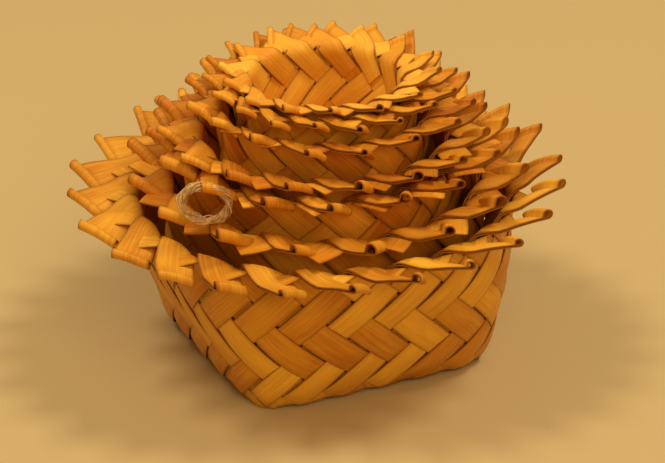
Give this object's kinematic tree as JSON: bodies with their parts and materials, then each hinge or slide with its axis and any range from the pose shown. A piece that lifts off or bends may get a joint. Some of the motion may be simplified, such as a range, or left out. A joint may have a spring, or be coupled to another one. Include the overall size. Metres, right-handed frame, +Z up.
{
  "type": "nesting basket",
  "caption": "Nest of square-based, round-mouthed baskets plaited from flat palm-leaf strips, each with a flaring rim of folded points, set inside one another; a fibre loop hangs on one point.",
  "frame": {"origin": "middle of the underside of the largest basket, on the plane it stands on", "axes": "+Z up the nest's axis, out of the baskets' mouths; +X to the right and -Y towards the viewer of the picture, the largest basket's square floor turned 25 degrees from them"},
  "size_m": [0.1206, 0.1206, 0.0732],
  "materials": {
    "palm_leaf_1": "dried palm leaf, golden, satin",
    "palm_leaf_2": "dried palm leaf, golden, satin",
    "palm_leaf_3": "dried palm leaf, golden, satin",
    "palm_leaf_4": "dried palm leaf, golden, satin",
    "palm_leaf_5": "dried palm leaf, golden, satin",
    "palm_leaf_6": "dried palm leaf, golden, satin",
    "palm_leaf_7": "dried palm leaf, golden, satin",
    "raffia_fibre": "dry frayed fibre, matt"
  },
  "bodies": {
    "outer_basket": {"basket_1": "palm_leaf_1"},
    "second_basket": {"basket_2": "palm_leaf_2"},
    "third_basket": {"basket_3": "palm_leaf_3", "fibre_tie": "raffia_fibre"},
    "fourth_basket": {"basket_4": "palm_leaf_4"},
    "fifth_basket": {"basket_5": "palm_leaf_5"},
    "sixth_basket": {"basket_6": "palm_leaf_6"},
    "inner_basket": {"basket_7": "palm_leaf_7"}
  },
  "joints": [
    {"name": "second_basket_lift", "type": "slide", "parent": "outer_basket", "child": "second_basket", "axis": [0, 0, 1], "range_m": [0, 0.05]},
    {"name": "third_basket_lift", "type": "slide", "parent": "second_basket", "child": "third_basket", "axis": [0, 0, 1], "range_m": [0, 0.04]},
    {"name": "fourth_basket_lift", "type": "slide", "parent": "third_basket", "child": "fourth_basket", "axis": [0, 0, 1], "range_m": [0, 0.045]},
    {"name": "fifth_basket_lift", "type": "slide", "parent": "fourth_basket", "child": "fifth_basket", "axis": [0, 0, 1], "range_m": [0, 0.038]},
    {"name": "sixth_basket_lift", "type": "slide", "parent": "fifth_basket", "child": "sixth_basket", "axis": [0, 0, 1], "range_m": [0, 0.036]},
    {"name": "inner_basket_lift", "type": "slide", "parent": "sixth_basket", "child": "inner_basket", "axis": [0, 0, 1], "range_m": [0, 0.036]}
  ]
}
